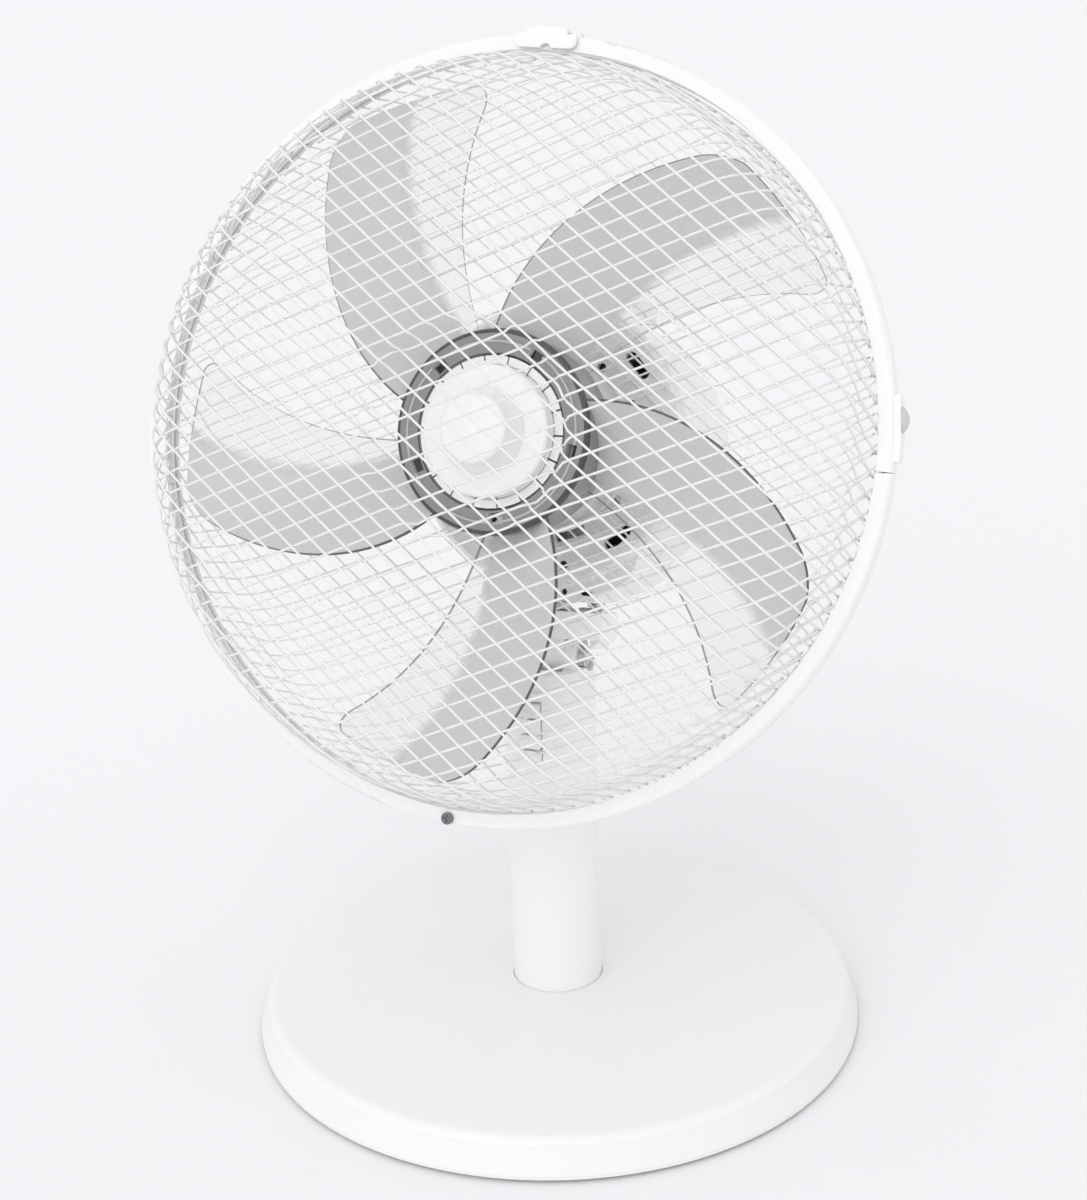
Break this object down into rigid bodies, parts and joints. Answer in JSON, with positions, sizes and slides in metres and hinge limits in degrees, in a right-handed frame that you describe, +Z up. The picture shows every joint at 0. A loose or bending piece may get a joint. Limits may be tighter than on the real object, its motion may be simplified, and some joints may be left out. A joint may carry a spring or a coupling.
{
  "type": "desk fan",
  "caption": "Oscillating desk fan: round weighted base, short column with push keys, tilting head with translucent blades in a wire mesh cage held by a clamp ring.",
  "frame": {"origin": "centre of the round base, on the surface the feet stand on", "axes": "+Z up, -Y the way the fan blows with its head straight ahead, +X to the right seen from the front"},
  "size_m": [0.3559, 0.305, 0.4853],
  "materials": {
    "base_plastic": "satin white",
    "column_plastic": "satin white",
    "key_plastic": "satin white",
    "off_key_plastic": "pale grey",
    "plate_plastic": "dark grey",
    "weight_steel": "black lacquer",
    "foot_rubber": "matt black",
    "grommet_rubber": "matt black",
    "screw_steel": "zinc plated",
    "capacitor_case": "black",
    "neck_plastic": "satin white",
    "bush_bronze": "sintered bronze",
    "link_steel": "plain",
    "post_steel": "plain",
    "motor_plastic": "satin white",
    "shield_metal": "die cast",
    "stator_steel": "laminated",
    "winding_copper": "enamelled copper wire",
    "rotor_aluminium": "cast cage over laminations",
    "shaft_steel": "ground",
    "worm_brass": "plain",
    "gear_nylon": "natural",
    "front_mesh": "white coated wire",
    "rear_mesh": "pale grey coated wire",
    "nut_plastic": "satin white",
    "ring_plastic": "gloss white",
    "button_plastic": "grey",
    "ring_screw_steel": "blackened",
    "knob_plastic": "satin white",
    "impeller_plastic": "smoky translucent",
    "spinner_plastic": "gloss white"
  },
  "bodies": {
    "base": {"base_cover": "base_plastic", "base_plate": "plate_plastic", "base_weight": "weight_steel", "rubber_feet": "foot_rubber", "base_screws": "screw_steel", "cord_grommet": "grommet_rubber", "column": "column_plastic", "column_screws": "screw_steel", "control_bezel": "column_plastic", "switch_block": "plate_plastic", "run_capacitor": "capacitor_case", "tilt_bolt": "screw_steel", "tilt_nut": "screw_steel"},
    "neck": {"tilt_neck": "neck_plastic", "pivot_bush": "bush_bronze", "pivot_screw": "screw_steel"},
    "link": {"link_arm": "link_steel"},
    "head": {"oscillation_post": "post_steel", "motor_front_cover": "motor_plastic", "motor_rear_cover": "motor_plastic", "cover_screws": "screw_steel", "front_shield": "shield_metal", "rear_shield": "shield_metal", "tie_bolts": "screw_steel", "stator": "stator_steel", "windings": "winding_copper", "front_bush": "bush_bronze", "rear_bush": "bush_bronze", "gearbox": "plate_plastic", "rear_grille": "rear_mesh", "rear_rim": "rear_mesh", "grille_nut": "nut_plastic", "front_grille": "front_mesh", "front_rim": "front_mesh", "upper_ring": "ring_plastic", "lower_ring": "ring_plastic", "joint_buttons": "button_plastic", "ring_screw": "ring_screw_steel", "clip_pin": "screw_steel"},
    "rotor_set": {"impeller": "impeller_plastic", "impeller_nut": "spinner_plastic", "motor_shaft": "shaft_steel", "cross_pin": "screw_steel", "rotor": "rotor_aluminium", "worm": "worm_brass"},
    "crank": {"worm_wheel": "gear_nylon", "crank_arm": "link_steel"},
    "clip": {"ring_clip": "ring_plastic"},
    "knob": {"oscillation_knob": "knob_plastic"},
    "off_key": {"key_off": "off_key_plastic"},
    "low_key": {"key_low": "key_plastic"},
    "medium_key": {"key_medium": "key_plastic"},
    "high_key": {"key_high": "key_plastic"}
  },
  "joints": [
    {"name": "head_tilt", "type": "hinge", "parent": "base", "child": "neck", "pos_m": [0, 0, 0.19385], "axis": [-1, 0, 0], "range_deg": [-18, 12]},
    {"name": "oscillation", "type": "hinge", "parent": "neck", "child": "head", "pos_m": [0, 0, 0.19385], "axis": [0, 0.309, 0.9511], "range_deg": [-40, 40]},
    {"name": "blade_spin", "type": "hinge", "parent": "head", "child": "rotor_set", "pos_m": [0, 0, 0.299], "axis": [0, -0.9511, 0.309], "continuous": true},
    {"name": "worm_wheel_spin", "type": "hinge", "parent": "head", "child": "crank", "pos_m": [0.016, 0.08655, 0.27088], "axis": [0, 0.309, 0.9511], "continuous": true},
    {"name": "link_pivot", "type": "hinge", "parent": "neck", "child": "link", "pos_m": [0.012, 0.03531, 0.20867], "axis": [0, 0.309, 0.9511], "range_deg": [-40, 40]},
    {"name": "clip_hinge", "type": "hinge", "parent": "head", "child": "clip", "pos_m": [0.00922, 0.01443, 0.47933], "axis": [-0.9986, 0.0162, 0.0498], "range_deg": [0, 100]},
    {"name": "knob_lift", "type": "slide", "parent": "head", "child": "knob", "axis": [0, 0.309, 0.9511], "range_m": [0, 0.006]},
    {"name": "off_press", "type": "slide", "parent": "base", "child": "off_key", "axis": [0, 1, 0], "range_m": [0, 0.002], "stiffness_N_per_m": 600},
    {"name": "low_press", "type": "slide", "parent": "base", "child": "low_key", "axis": [0, 1, 0], "range_m": [0, 0.002], "stiffness_N_per_m": 600},
    {"name": "medium_press", "type": "slide", "parent": "base", "child": "medium_key", "axis": [0, 1, 0], "range_m": [0, 0.002], "stiffness_N_per_m": 600},
    {"name": "high_press", "type": "slide", "parent": "base", "child": "high_key", "axis": [0, 1, 0], "range_m": [0, 0.002], "stiffness_N_per_m": 600}
  ],
  "couplings": [
    {"joint": "worm_wheel_spin", "follows": "blade_spin", "ratio": -0.033333},
    {"joint": "link_pivot", "follows": "oscillation", "ratio": 1}
  ]
}
